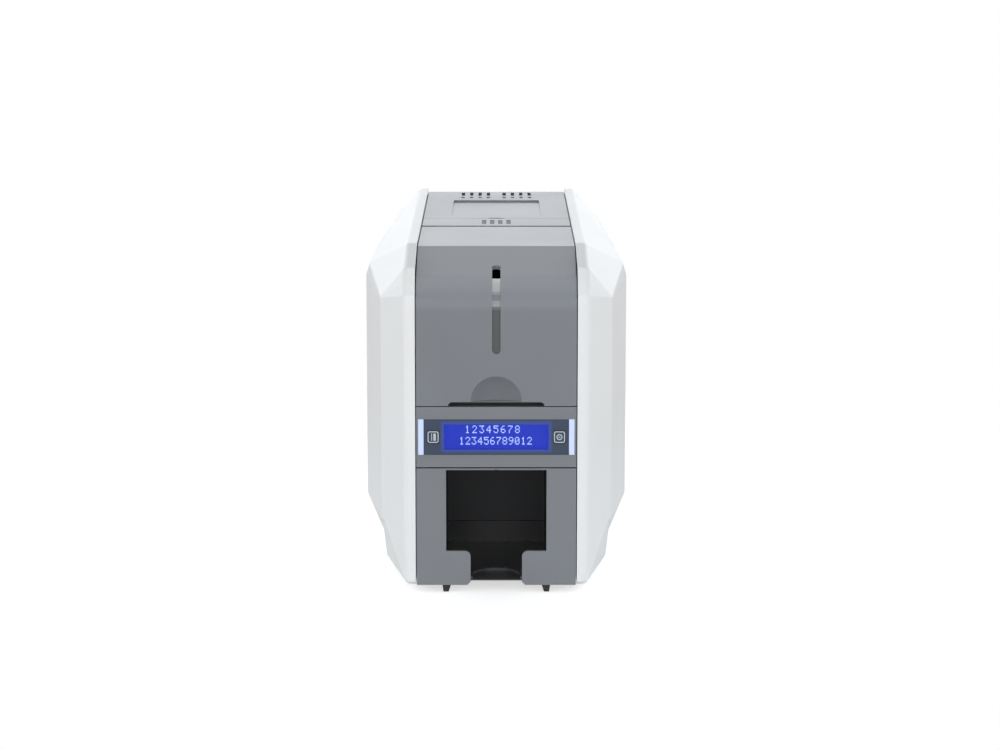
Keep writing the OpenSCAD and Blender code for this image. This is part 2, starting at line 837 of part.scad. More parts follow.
module output_tray() {
    in_x = mouth_w / 2 + 0.2;
    z0 = floor_z;
    floor_top = z0 + 2.5;
    scoop_r = finger_w / 2 - 1.1;
    scoop_d = 8;
    scoop_floor = 0.7;
    color(black)
        difference() {
            union() {
                block(-in_x - tray_wall, in_x + tray_wall, wall + 0.2, stacker_d, z0, floor_top);
                block(-finger_w / 2 + 0.3, finger_w / 2 - 0.3, 0.4, wall + 0.2 + eps, z0, floor_top);
                both_sides()
                    block(in_x, in_x + tray_wall, wall + 0.2, stacker_d, floor_top - eps, stacker_z - 4);
                block(-in_x, in_x, stacker_d - tray_wall, stacker_d, floor_top - eps, z0 + 16);
                // Ribs that the cards slide on
                for (x = [-18, -6, 6, 18])
                    block(x - 0.6, x + 0.6, 24, stacker_d - tray_wall + eps, floor_top - eps,
                          floor_top + 0.6);
            }
            // Finger scoop in the front of the floor, with an upright rim
            translate([0, from_front(scoop_d), z0 + scoop_floor])
                cylinder(r = scoop_r, h = 5);
            block(-scoop_r, scoop_r, -1, scoop_d, z0 + scoop_floor, z0 + 5);
        }
}

module front_feet() {
    foot_x = 31;
    color(black)
        both_sides()
            behind(1, 9)
                polygon([[foot_x - 1.8, 0], [foot_x + 1.4, 0], [foot_x + 2, foot_h],
                         [foot_x - 3.2, foot_h]]);
}

module rear_feet() {
    color(black)
        both_sides()
            translate([36, from_front(body_d - 34), 0])
                cylinder(r = 7, h = foot_h);
}

// ---------------------------------------------------------------- card hopper

module hopper_frame() {
    side = 2;
    d0 = 13;
    d1 = d0 + card_l;
    top = shoulder_z + 8;
    gate = path_z + card_t + 0.5;
    open_z0 = gate + 21.3;
    open_z1 = top - 13.3;
    color(black)
        difference() {
            union() {
                both_sides() {
                    block(card_w / 2, card_w / 2 + side, d0, d1, path_z - 2, top);
                    // Arms that reach the side plates
                    for (z = [path_z + 20, top - 12])
                        block(card_w / 2 + side - eps, plate_in, d1 - 10, d1 - 7, z, z + 8);
                }
                block(-card_w / 2 - side, card_w / 2 + side, d1 - eps, d1 + side, path_z - 2, top - 10);
            }
            block(-card_w / 2, card_w / 2, d1 - 1, d1 + side + 1, path_z - 3, gate);
            // Open middle of the rear wall
            behind(d1 - 1, d1 + side + 1)
                rounded(0, (open_z0 + open_z1) / 2, 22, open_z1 - open_z0, 4);
        }
}

module card_weight() {
    side_gap = 0.5;
    d0 = 14;
    thick = 5;
    z0 = path_z + card_t + 0.1;
    color(black) {
        difference() {
            block(-card_w / 2 + side_gap, card_w / 2 - side_gap, d0 + 0.5, d0 + card_l - 2, z0, z0 + thick);
            block(-18, 18, d0 + 10, d0 + 60, z0 + 1.5, z0 + thick + 1);
        }
        // Handle across the weight
        block(-card_w / 2 + side_gap, card_w / 2 - side_gap, d0 + 66, d0 + 70,
              z0 + thick - eps, z0 + thick + 6);
    }
}

module card_guide() {
    half = card_w / 2 + 4;
    color([0.20, 0.21, 0.22])
        difference() {
            union() {
                block(-half, half, 12.3, flap_d - 4, path_z - 1.8, path_z - 0.1);
                block(-half, half, flap_d + flap_l + 3, rear_d + 22, path_z - 1.8, path_z - 0.1);
                // Fixing tabs to both side plates
                both_sides()
                    for (d = [40, 136, 270, 322])
                        block(half - eps, plate_in, d, d + 8, path_z - 1.8, path_z - 0.1);
            }
            // The hopper walls stand on either side of the card
            both_sides()
                block(card_w / 2 - 0.3, card_w / 2 + 2.3, 12, 13 + card_l + 2.3, path_z - 3, path_z + 1);
            for (d = shafts)
                block(-card_w / 2 + 3, card_w / 2 - 3, d - roller_r - 1, d + roller_r + 1,
                      path_z - 3, path_z + 1);
        }
}

chute_low = 78;

// Sloping chute that takes a finished card down to the stacker
module exit_chute() {
    half = card_w / 2 + 1;
    t = 1.6;
    d0 = stacker_d + gap + wall + gap;
    color(black) {
        across(2 * half)
            polygon([[d0, chute_low - 3], [flap_d + 4, path_z - 12], [flap_d + flap_l + 1, path_z - 5],
                     [flap_d + flap_l + 1, path_z - 5 - t], [flap_d + 4, path_z - 12 - t],
                     [d0, chute_low - 3 - t]]);
        both_sides()
            between(half - eps, half + t)
                polygon([[d0, chute_low + 1], [d0 + 40, chute_low + 18], [flap_d - 8, path_z - 9],
                         [flap_d + flap_l + 1, path_z - 4], [flap_d + flap_l + 1, path_z - 5 - t],
                         [flap_d + 4, path_z - 12 - t], [d0, chute_low - 3 - t]]);
        // Lugs to the side plates
        both_sides()
            for (d = [d0 + 6, flap_d + 12])
                block(half + t - eps, plate_in, d, d + 8, d < flap_d ? chute_low - 3 : path_z - 8.5,
                      d < flap_d ? chute_low + 1 : path_z - 5.5);
    }
}

// Flap that turns a returning card down into the chute
module diverter_flap() {
    half = card_w / 2 + 0.5;
    color([0.20, 0.21, 0.22]) {
        across(2 * half)
            polygon([[flap_d - 1.4, flap_z + 1.4], [flap_d + 1, flap_z + 2.6],
                     [flap_d + flap_l, flap_z + 2.6], [flap_d + flap_l, flap_z + 1.8],
                     [flap_d + 1, flap_z - 1.8]]);
        rod(2, -plate_in - plate_t, plate_in + plate_t, flap_d, flap_z);
    }
}

// ---------------------------------------------------------------- rollers

roller_side = 4;
roller_w = card_w - 2 * roller_side;

module driven_roller(d, w) {
    color([0.16, 0.16, 0.17])
        rod(roller_r, -w / 2, w / 2, d, roller_z);
    color(steel)
        rod(shaft_r, -gear_x - gear_w - 1, plate_x + 1, d, roller_z);
}

module pick_roller() {
    driven_roller(pick_d, 24);
}

module feed_roller() {
    driven_roller(feed_d, roller_w);
}

module platen_roller() {
    driven_roller(platen_d, roller_w);
}

module rear_roller() {
    driven_roller(rear_d, roller_w);
}

module free_roller(r, d, z) {
    rod(r, -card_w / 2 + 5, card_w / 2 - 5, d, z);
    rod(pinch_r - 2, -plate_x - 1, plate_x + 1, d, z);
}

module cleaning_roller() {
    color([0.30, 0.42, 0.62])
        free_roller(clean_r, clean_d, clean_z);
}

module feed_pinch_roller() {
    color(steel)
        free_roller(pinch_r, feed_d, pinch_z);
}

module rear_pinch_roller() {
    color(steel)
        free_roller(pinch_r, rear_d, pinch_z);
}

// Bushes of the four driven shafts, seated in both side plates
module shaft_bushes() {
    collar = 1;
    color([0.62, 0.48, 0.28])
        both_sides()
            for (d = shafts)
                difference() {
                    union() {
                        rod(bush_r, plate_in - eps, plate_x, d, roller_z);
                        rod(bush_r + 1.5, plate_in - collar, plate_in, d, roller_z);
                    }
                    rod(shaft_r + fit, plate_in - 5, plate_x + 5, d, roller_z);
                }
}

// ---------------------------------------------------------------- gears

// Outline of a spur gear with straight-flanked teeth and a little backlash
module gear_outline(teeth, turn) {
    r = gear_m * teeth / 2;
    add = 0.9 * gear_m;
    ded = 1.2 * gear_m;
    half = PI * gear_m / 4 * 0.84;
    flank = tan(20);
    polygon([
        for (i = [0 : teeth - 1])
            for (p = [[-1, -ded], [-1, add], [1, add], [1, -ded]])
                let (a = turn + 360 * i / teeth
                         + p[0] * (half - flank * p[1]) / (r + p[1]) * 180 / PI)
                    (r + p[1]) * [cos(a), sin(a)]
    ]);
}

// A gear about an axis along X at a depth and height, outside the left side plate
module gear_at(teeth, d, z, bore, turn, x0, w) {
    translate([-x0, from_front(d), z])
        mirror([1, 0, 0])
            rotate([90, 0, 90])
                linear_extrude(height = w)
                    difference() {
                        gear_outline(teeth, turn);
                        circle(r = bore);
                    }
}

// Turn of a gear that meshes with a neighbour: dir points from the neighbour to it
function meshed(turn_a, teeth_a, teeth_b, dir) =
    dir + 180 + ((dir - turn_a) * teeth_a / 360 + 0.5) * 360 / teeth_b;
front_turn = meshed(0, roller_teeth, front_teeth, 0);
feed_turn = meshed(front_turn, front_teeth, roller_teeth, 0);
middle_turn = meshed(feed_turn, roller_teeth, middle_teeth, 0);
platen_turn = meshed(middle_turn, middle_teeth, roller_teeth, 0);
rear_idler_turn = meshed(platen_turn, roller_teeth, rear_teeth, 0);
rear_turn = meshed(rear_idler_turn, rear_teeth, roller_teeth, 0);
pinion_turn = meshed(middle_turn, middle_teeth, pinion_teeth, 270);
ribbon_turn = meshed(0, spool_teeth, ribbon_teeth, 180);

module roller_gear(d, teeth, turn) {
    color([0.86, 0.85, 0.80]) {
        gear_at(teeth, d, roller_z, shaft_r, turn, gear_x, gear_w);
        // Hub against the side plate
        difference() {
            rod(shaft_r + 2, -plate_x - gap, -gear_x - eps, d, roller_z);
            rod(shaft_r, -plate_x, -gear_x - 1, d, roller_z);
        }
    }
}

module pick_gear() {
    roller_gear(pick_d, roller_teeth, 0);
}

module feed_gear() {
    roller_gear(feed_d, roller_teeth, feed_turn);
}

module platen_gear() {
    roller_gear(platen_d, roller_teeth, platen_turn);
}

module rear_gear() {
    roller_gear(rear_d, roller_teeth, rear_turn);
}

// Idler gears, each turning on a stub pressed into the left side plate
module idler_gear(d, teeth, turn) {
    spokes = 5;
    rim = gear_m * teeth / 2 - 4;
    color([0.86, 0.85, 0.80])
        difference() {
            union() {
                gear_at(teeth, d, roller_z, 2, turn, gear_x, gear_w);
                rod(5, -plate_x - gap, -gear_x - gear_w - 1, d, roller_z);
            }
            for (i = [0 : spokes - 1])
                translate([0, from_front(d), roller_z])
                    rotate([360 * i / spokes, 0, 0])
                        translate([0, (rim + 5) / 2, 0])
                            rotate([0, 90, 0])
                                cylinder(r = (rim - 5) / 2 - 2, h = 200, center = true);
            rod(2 + fit, -plate_x, -gear_x - gear_w - 2, d, roller_z);
        }
}

module front_idler_gear() {
    idler_gear(front_idler_d, front_teeth, front_turn);
}

module middle_idler_gear() {
    idler_gear(middle_idler_d, middle_teeth, middle_turn);
}

module rear_idler_gear() {
    idler_gear(rear_idler_d, rear_teeth, rear_idler_turn);
}

// Studs of the idler gears: pressed into the left side plate, with a retaining head
module idler_studs() {
    color(steel)
        for (d = [front_idler_d, middle_idler_d, rear_idler_d]) {
            rod(2, -plate_in, -gear_x - gear_w - 1.5, d, roller_z);
            rod(3.4, -gear_x - gear_w - 1.2, -gear_x - gear_w - 2.2, d, roller_z);
        }
}

module drive_motor() {
    body = 42;
    length = 34;
    color([0.35, 0.36, 0.38]) {
        difference() {
            block(-plate_in, -plate_in + length, middle_idler_d - body / 2, middle_idler_d + body / 2,
                  motor_z - body / 2, motor_z + body / 2);
            rod(2.5 + fit, -plate_in - 1, -plate_in + length - 4, middle_idler_d, motor_z);
        }
    }
}

module drive_pinion() {
    color(steel) {
        gear_at(pinion_teeth, middle_idler_d, motor_z, 2, pinion_turn, gear_x, gear_w);
        rod(2.5, -plate_in + 8, -gear_x - gear_w - 1, middle_idler_d, motor_z);
    }
}

// ---------------------------------------------------------------- print unit

head_d0 = platen_d - 9;
head_d1 = platen_d + 21;
head_z = path_z + card_t + 1;

module print_head() {
    half = card_w / 2 + 2;
    color([0.88, 0.87, 0.84])
        across(2 * half)
            polygon([[head_d0 + 4, head_z], [head_d0 + 12, head_z], [head_d1, head_z + 4],
                     [head_d1, head_z + 8], [head_d0, head_z + 8], [head_d0, head_z + 3]]);
}

module head_bracket() {
    half = card_w / 2 + 2;
    fin_t = 2;
    fins = 6;
    z1 = head_z + 8;
    z2 = z1 + 22;
    color(steel) {
        block(-half, half, head_d0, head_d1, z1, z1 + 3);
        // Fins of the heat sink
        for (i = [0 : fins - 1])
            block(-half, half, head_d0 + i * (head_d1 - head_d0 - fin_t) / (fins - 1),
                  head_d0 + i * (head_d1 - head_d0 - fin_t) / (fins - 1) + fin_t, z1 + 3 - eps, z2);
        // Two arms that hang the head from the top cover
        for (x = [-1, 1])
            block(x * (half - 4) - 4, x * (half - 4) + 4, head_d0 + 6, head_d1 - 6, z2 - eps,
                  top_z - wall - recess_t);
    }
}

// Drop-in ribbon cassette: two side rails joined by bars under the strip and behind the head
module ribbon_cassette() {
    x0 = spool_w / 2 + 1;
    x1 = x0 + 3;
    color([0.24, 0.25, 0.27]) {
        difference() {
            both_sides()
                between(x0, x1)
                    polygon([[takeup_d - 13, spool_z - 14], [takeup_d - 13, spool_z + 10],
                             [takeup_d + 14, spool_z + 10], [platen_d - 20, 150], [supply_d - 36, 150],
                             [supply_d - 12, spool_z + 10], [supply_d + 14, spool_z + 10],
                             [supply_d + 18, spool_z - 10], [supply_d - 6, path_z + 16],
                             [takeup_d + 10, path_z + 16]]);
            both_sides()
                for (d = [takeup_d, supply_d])
                    rod(core_r - 2 + fit, x0 - 1, x1 + 1, d, spool_z);
        }
        block(-x0 - eps, x0 + eps, takeup_d - 13, takeup_d - 10.6, spool_z - 14, spool_z - 4);
        // Lugs that rest against the side plates
        both_sides()
            for (d = [takeup_d + 24, supply_d - 20])
                block(x1 - eps, plate_in, d, d + 8, path_z + 19, path_z + 24);
    }
}

module ribbon_film() {
    t = 0.3;
    half = spool_w / 2 - 2;
    low = path_z + card_t + 0.35;
    color([0.30, 0.18, 0.34])
        across(2 * half)
            polygon([[takeup_d + core_r + 3, spool_z - 3], [head_d0 - 1.2, head_z + 2.5],
                     [head_d0 + 3, low], [head_d0 + 12.5, low], [head_d1 + 1.5, head_z + 3.2],
                     [supply_d + 4, spool_z - roll_r - 0.4], [supply_d + 4, spool_z - roll_r - 0.4 - t],
                     [head_d1 + 1.5, head_z + 3.2 - t], [head_d0 + 12.5, low - t], [head_d0 + 3 - t, low - t],
                     [head_d0 - 1.2 - t, head_z + 2.5 - t], [takeup_d + core_r + 3 - t, spool_z - 3]]);
}

module supply_spool() {
    color([0.30, 0.18, 0.34])
        rod(roll_r, -spool_w / 2 + 2, spool_w / 2 - 2, supply_d, spool_z);
    color(white)
        rod(core_r - 2, -spool_w / 2 - 4, spool_w / 2 + 4, supply_d, spool_z);
}

module takeup_spool() {
    color([0.30, 0.18, 0.34])
        rod(core_r + 2, -spool_w / 2 + 2, spool_w / 2 - 2, takeup_d, spool_z);
    color(white) {
        rod(core_r - 2, -gear_x - eps, spool_w / 2 + 4, takeup_d, spool_z);
        gear_at(spool_teeth, takeup_d, spool_z, 1, 0, gear_x, gear_w);
    }
}

module ribbon_motor() {
    color([0.62, 0.63, 0.66])
        difference() {
            rod(11, -plate_in, -plate_in + 9, ribbon_motor_d, spool_z);
            rod(1.5 + fit, -plate_in - 1, -plate_in + 5, ribbon_motor_d, spool_z);
        }
}

module ribbon_pinion() {
    color(steel) {
        gear_at(ribbon_teeth, ribbon_motor_d, spool_z, 1, ribbon_turn, gear_x, gear_w);
        rod(1.5, -plate_in + 4, -gear_x - gear_w, ribbon_motor_d, spool_z);
    }
}

// ---------------------------------------------------------------- electronics

module main_board() {
    color([0.05, 0.32, 0.16])
        block(-board_w / 2, board_w / 2, board_d0, board_d1, board_z, board_z + board_t);
    color(black)
        for (p = [[-18, board_d0 + 30, 20], [14, board_d0 + 38, 14], [-24, board_d0 + 68, 10]])
            block(p[0] - p[2] / 2, p[0] + p[2] / 2, p[1], p[1] + p[2], board_z + board_t - eps,
                  board_z + board_t + 2.2);
}

module socket(x, w, h, open_w, open_h) {
    z = board_z + board_t;
    difference() {
        block(x - w / 2, x + w / 2, body_d - socket_d, body_d - 0.4, z, z + h);
        block(x - open_w / 2, x + open_w / 2, body_d - socket_d + 2, body_d, z + (h - open_h) / 2,
              z + (h + open_h) / 2);
    }
}

module usb_socket() {
    color(steel)
        socket(usb_x, usb_w, usb_h, 8.6, 7.8);
}

module network_socket() {
    color(steel)
        socket(lan_x, lan_w, lan_h, 11.8, 8.4);
}

module power_inlet() {
    z = board_z + board_t;
    color(black)
        difference() {
            union() {
                block(power_x - power_r, power_x + power_r, body_d - socket_d, body_d - 5, z, z + 7);
                translate([power_x, from_front(body_d - 5 - 2), z + 7])
                    rotate([-90, 0, 0])
                        cylinder(r = power_r, h = 6.6);
                translate([power_x, from_front(body_d - socket_d), z + 7])
                    rotate([-90, 0, 0])
                        cylinder(r = power_r, h = socket_d - 5);
            }
            translate([power_x, from_front(body_d - socket_d + 2), z + 7])
                rotate([-90, 0, 0])
                    cylinder(r = power_r - 2, h = socket_d);
        }
}

// Rocker switch: a round body with two flats that meet at the middle of its face
switch_pivot_d = body_d - 8;
switch_tilt = 8;

module power_switch() {
    r = switch_h / 2;
    face = 7;
    color(black) {
        between(switch_x - switch_w / 2, switch_x + switch_w / 2)
            difference() {
                translate([switch_pivot_d, switch_z])
                    circle(r = r);
                polygon([[switch_pivot_d + face - 1.2, switch_z],
                         [switch_pivot_d + face, switch_z + r + 1],
                         [switch_pivot_d + r + 2, switch_z + r + 1],
                         [switch_pivot_d + r + 2, switch_z - r - 1],
                         [switch_pivot_d + face, switch_z - r - 1]]);
                translate([switch_pivot_d - r, switch_z - r - 1])
                    square([r - 4, switch_h + 2]);
            }
    }
}

base_frame();
left_side_plate();
right_side_plate();
left_side_cover();
right_side_cover();
rear_cover();
top_cover();
latch_bar();
hopper_cover();
level_window();
hinge_pins();
control_fascia();
panel_window();
light_bars();
left_key();
right_key();
lcd_bezel();
lcd_glass();
panel_board();
card_slot_plate();
stacker_frame();
output_tray();
front_feet();
rear_feet();
hopper_frame();
card_weight();
card_guide();
exit_chute();
diverter_flap();
pick_roller();
feed_roller();
platen_roller();
rear_roller();
cleaning_roller();
feed_pinch_roller();
rear_pinch_roller();
pick_gear();
feed_gear();
platen_gear();
rear_gear();
front_idler_gear();
middle_idler_gear();
rear_idler_gear();
idler_studs();
shaft_bushes();
drive_motor();
drive_pinion();
print_head();
head_bracket();
ribbon_cassette();
ribbon_film();
supply_spool();
takeup_spool();
ribbon_motor();
ribbon_pinion();
main_board();
usb_socket();
network_socket();
power_inlet();
power_switch();
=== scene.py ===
import math

import bmesh
import bpy
from mathutils import Matrix, Vector


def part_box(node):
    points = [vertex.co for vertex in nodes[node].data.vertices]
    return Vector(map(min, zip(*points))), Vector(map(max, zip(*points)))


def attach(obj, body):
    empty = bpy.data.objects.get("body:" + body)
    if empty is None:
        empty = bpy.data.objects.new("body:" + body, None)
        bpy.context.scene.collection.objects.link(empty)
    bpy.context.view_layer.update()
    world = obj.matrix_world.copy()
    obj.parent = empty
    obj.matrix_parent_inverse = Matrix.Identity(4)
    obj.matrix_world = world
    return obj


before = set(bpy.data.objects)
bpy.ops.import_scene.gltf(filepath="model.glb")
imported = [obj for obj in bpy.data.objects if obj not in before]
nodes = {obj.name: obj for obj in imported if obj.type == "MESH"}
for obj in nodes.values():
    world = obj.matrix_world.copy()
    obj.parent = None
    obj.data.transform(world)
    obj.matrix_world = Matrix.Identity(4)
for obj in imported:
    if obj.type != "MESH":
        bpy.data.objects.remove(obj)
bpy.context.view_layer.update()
scene = bpy.context.scene

# Camera: a long lens a little above the printer, looking slightly down at its front face.
front_face, standoff, eye_height, dip = 0.192, 1.7906, 0.4393, 9.648
camera = bpy.data.objects.new("camera", bpy.data.cameras.new("camera"))
scene.collection.objects.link(camera)
scene.camera = camera
camera.data.lens = 108
camera.data.sensor_width = 36
camera.data.shift_x = 0.0037
camera.data.clip_end = 20
camera.location = (0, -front_face - standoff, eye_height)
camera.rotation_euler = (math.radians(90 - dip), 0, 0)

# Studio: a light tent, brightest at the horizon and dark straight above. Mirror-like rays see a
# bright wall, a greyer part above it and a soft box overhead, and the camera sees plain white.
wall_levels = ((0.0, 1.0), (0.5, 0.34), (1.0, 0.0))
mirror_levels = ((0.0, 0.74), (0.3, 0.8), (0.5, 0.42), (0.75, 0.44), (0.9, 0.95), (1.0, 0.95))
scene.view_settings.view_transform = "Standard"
world = bpy.data.worlds.new("studio")
scene.world = world
world.use_nodes = True
tree = world.node_tree
tree.nodes.clear()
world_out = tree.nodes.new("ShaderNodeOutputWorld")
seen = tree.nodes.new("ShaderNodeBackground")
seen.inputs["Color"].default_value = (1, 1, 1, 1)
ambient = tree.nodes.new("ShaderNodeBackground")
ambient.inputs["Strength"].default_value = 1.74
mirrored = tree.nodes.new("ShaderNodeBackground")
mirrored.inputs["Strength"].default_value = 3
direction = tree.nodes.new("ShaderNodeTexCoord")
height = tree.nodes.new("ShaderNodeSeparateXYZ")
tree.links.new(direction.outputs["Generated"], height.inputs[0])
for background, levels in ((ambient, wall_levels), (mirrored, mirror_levels)):
    bands = tree.nodes.new("ShaderNodeValToRGB")
    while len(bands.color_ramp.elements) < len(levels):
        bands.color_ramp.elements.new(0.5)
    for stop, (at, level) in zip(bands.color_ramp.elements, levels):
        stop.position = at
        stop.color = (level * 0.96, level * 0.98, level, 1)
    tree.links.new(height.outputs["Z"], bands.inputs["Fac"])
    tree.links.new(bands.outputs["Color"], background.inputs["Color"])
rays = tree.nodes.new("ShaderNodeLightPath")
straight = tree.nodes.new("ShaderNodeMath")
straight.operation = "MAXIMUM"
tree.links.new(rays.outputs["Is Camera Ray"], straight.inputs[0])
tree.links.new(rays.outputs["Is Transmission Ray"], straight.inputs[1])
lit = tree.nodes.new("ShaderNodeMixShader")
tree.links.new(rays.outputs["Is Glossy Ray"], lit.inputs[0])
tree.links.new(ambient.outputs[0], lit.inputs[1])
tree.links.new(mirrored.outputs[0], lit.inputs[2])
world_mix = tree.nodes.new("ShaderNodeMixShader")
tree.links.new(straight.outputs[0], world_mix.inputs[0])
tree.links.new(lit.outputs[0], world_mix.inputs[1])
tree.links.new(seen.outputs[0], world_mix.inputs[2])
tree.links.new(world_mix.outputs[0], world_out.inputs["Surface"])

# Lamps: three weak soft ones, one above and two low in front, that mirror-like rays don't see.
for name, place, aim, size, watts in (
    ("top_light", (0.0, 0.15, 1.5), (0, 0.05, 0.2), 1.6, 0.8),
    ("front_left_light", (-1.3, -1.5, 0.3), (0, -0.1, 0.1), 1.0, 8.0),
    ("front_right_light", (1.3, -1.5, 0.3), (0, -0.1, 0.1), 1.0, 7.2),
):
    light = bpy.data.objects.new(name, bpy.data.lights.new(name, "AREA"))
    light.data.size = size
    light.data.energy = watts
    light.location = place
    light.visible_glossy = False
    light.rotation_euler = (Vector(aim) - Vector(place)).to_track_quat("-Z", "Y").to_euler()
    scene.collection.objects.link(light)

# Floor: a plain white sheet under the printer. It takes the soft shadow near the feet and fades
# to plain white further out, so that its edge never shows.
shadow_reach, white_reach, floor_half = 0.25, 0.55, 6
floor_mesh = bpy.data.meshes.new("floor")
bm = bmesh.new()
bmesh.ops.create_grid(bm, x_segments=1, y_segments=1, size=floor_half)
bm.to_mesh(floor_mesh)
bm.free()
floor = bpy.data.objects.new("floor", floor_mesh)
scene.collection.objects.link(floor)
floor_material = bpy.data.materials.new("floor_white")
floor_material.use_nodes = True
tree = floor_material.node_tree
near = tree.nodes["Principled BSDF"]
near.inputs["Base Color"].default_value = (0.85, 0.85, 0.85, 1)
near.inputs["Roughness"].default_value = 0.8
near.inputs["Emission Color"].default_value = (1, 1, 1, 1)
far = tree.nodes.new("ShaderNodeEmission")
rays = tree.nodes.new("ShaderNodeLightPath")
for strength, unseen, seen_level in ((near.inputs["Emission Strength"], 0.0, 0.62),
                                     (far.inputs["Strength"], 0.4, 1.0)):
    shown = tree.nodes.new("ShaderNodeMapRange")
    shown.inputs["To Min"].default_value = unseen
    shown.inputs["To Max"].default_value = seen_level
    tree.links.new(rays.outputs["Is Camera Ray"], shown.inputs["Value"])
    tree.links.new(shown.outputs[0], strength)
place = tree.nodes.new("ShaderNodeTexCoord")
reach = tree.nodes.new("ShaderNodeVectorMath")
reach.operation = "LENGTH"
tree.links.new(place.outputs["Object"], reach.inputs[0])
fade = tree.nodes.new("ShaderNodeMapRange")
fade.inputs["From Min"].default_value = shadow_reach
fade.inputs["From Max"].default_value = white_reach
tree.links.new(reach.outputs["Value"], fade.inputs["Value"])
mix = tree.nodes.new("ShaderNodeMixShader")
tree.links.new(fade.outputs[0], mix.inputs[0])
tree.links.new(near.outputs[0], mix.inputs[1])
tree.links.new(far.outputs[0], mix.inputs[2])
tree.links.new(mix.outputs[0], tree.nodes["Material Output"].inputs["Surface"])
floor_mesh.materials.append(floor_material)


# Inner mouldings: base, hopper, card guides, chute, flap, cassette, inlet, switch and bezel. All
# are satin black plastic with a spark-eroded grain, carried by the base, the side plates or the
# covers. The sharp outer edges of each moulding are mixed a little paler.
def moulded(name, color, rough, grain=0.00035, depth=0.00002, coat=0.0, mottle=0.03):
    material = bpy.data.materials.new(name)
    material.use_nodes = True
    tree = material.node_tree
    shader = tree.nodes["Principled BSDF"]
    shader.inputs["IOR"].default_value = 1.5
    shader.inputs["Coat Weight"].default_value = coat
    shader.inputs["Coat Roughness"].default_value = 0.12
    place = tree.nodes.new("ShaderNodeTexCoord")
    fine = tree.nodes.new("ShaderNodeTexNoise")
    fine.inputs["Scale"].default_value = 1 / grain
    fine.inputs["Detail"].default_value = 3
    tree.links.new(place.outputs["Object"], fine.inputs["Vector"])
    bump = tree.nodes.new("ShaderNodeBump")
    bump.inputs["Strength"].default_value = 0.35
    bump.inputs["Distance"].default_value = depth
    tree.links.new(fine.outputs[0], bump.inputs["Height"])
    tree.links.new(bump.outputs["Normal"], shader.inputs["Normal"])
    broad = tree.nodes.new("ShaderNodeTexNoise")
    broad.inputs["Scale"].default_value = 14
    broad.inputs["Detail"].default_value = 4
    tree.links.new(place.outputs["Object"], broad.inputs["Vector"])
    gloss = tree.nodes.new("ShaderNodeMapRange")
    gloss.inputs["To Min"].default_value = rough - 0.05
    gloss.inputs["To Max"].default_value = rough + 0.07
    tree.links.new(broad.outputs[0], gloss.inputs["Value"])
    tree.links.new(gloss.outputs[0], shader.inputs["Roughness"])
    tone = tree.nodes.new("ShaderNodeValToRGB")
    darker, lighter = tone.color_ramp.elements
    darker.position = 0.3
    lighter.position = 0.7
    darker.color = [c * (1 - mottle) for c in color] + [1]
    lighter.color = [min(1, c * (1 + mottle)) for c in color] + [1]
    tree.links.new(broad.outputs[0], tone.inputs["Fac"])
    # Pointiness finds the sharp outer edges, which are mixed towards a paler colour
    edge = tree.nodes.new("ShaderNodeNewGeometry")
    pale_edge_share = tree.nodes.new("ShaderNodeMapRange")
    pale_edge_share.inputs["From Min"].default_value = 0.52
    pale_edge_share.inputs["From Max"].default_value = 0.62
    pale_edge_share.inputs["To Max"].default_value = 0.22
    tree.links.new(edge.outputs["Pointiness"], pale_edge_share.inputs["Value"])
    paler = tree.nodes.new("ShaderNodeMix")
    paler.data_type = "RGBA"
    paler.inputs["B"].default_value = [min(1, c * 1.25 + 0.02) for c in color] + [1]
    tree.links.new(pale_edge_share.outputs[0], paler.inputs["Factor"])
    tree.links.new(tone.outputs["Color"], paler.inputs["A"])
    tree.links.new(paler.outputs["Result"], shader.inputs["Base Color"])
    return material


def dress(node, material, edge_width=0.0):
    piece = nodes[node]
    for spot in piece.material_slots:
        spot.material = material
    if edge_width:
        edge = piece.modifiers.new("edge", "BEVEL")
        edge.width = edge_width
        edge.segments = 2
        edge.limit_method = "ANGLE"
        edge.angle_limit = math.radians(40)
        edge.harden_normals = True


black_plastic = moulded("black_plastic", (0.014, 0.015, 0.018), 0.42, mottle=0.12)
for node in ("base_frame", "card_slot_plate", "hopper_frame", "card_weight", "card_guide",
             "exit_chute", "diverter_flap", "ribbon_cassette", "power_inlet", "power_switch",
             "lcd_bezel"):
    dress(node, black_plastic, 0.0002)

# Output tray: the same black plastic, made paler as painted light for the dim bay it sits in. Its
# finger scoop, the part of the floor that is cut lower at the front, is painted paler still as
# light on its front-facing slope, with a painted highlight on its rim. Each tone holds from its
# height upwards: scoop floor, scoop rim, tray floor.
tray_painted_light_tones = ((0.0074, 0.045), (0.0083, 0.09), (0.0098, 0.027))
tray_low, tray_span, tray_painted_light_share = 0.0074, 0.003, 0.7
# Paler than black_plastic: painted light for the dim bay
tray_plastic = moulded("tray_plastic", (0.027, 0.028, 0.032), 0.3, mottle=0.15)
tree = tray_plastic.node_tree
place = tree.nodes.new("ShaderNodeTexCoord")
height = tree.nodes.new("ShaderNodeSeparateXYZ")
tree.links.new(place.outputs["Object"], height.inputs[0])
level = tree.nodes.new("ShaderNodeMapRange")
level.inputs["From Min"].default_value = tray_low
level.inputs["From Max"].default_value = tray_low + tray_span
tree.links.new(height.outputs["Z"], level.inputs["Value"])
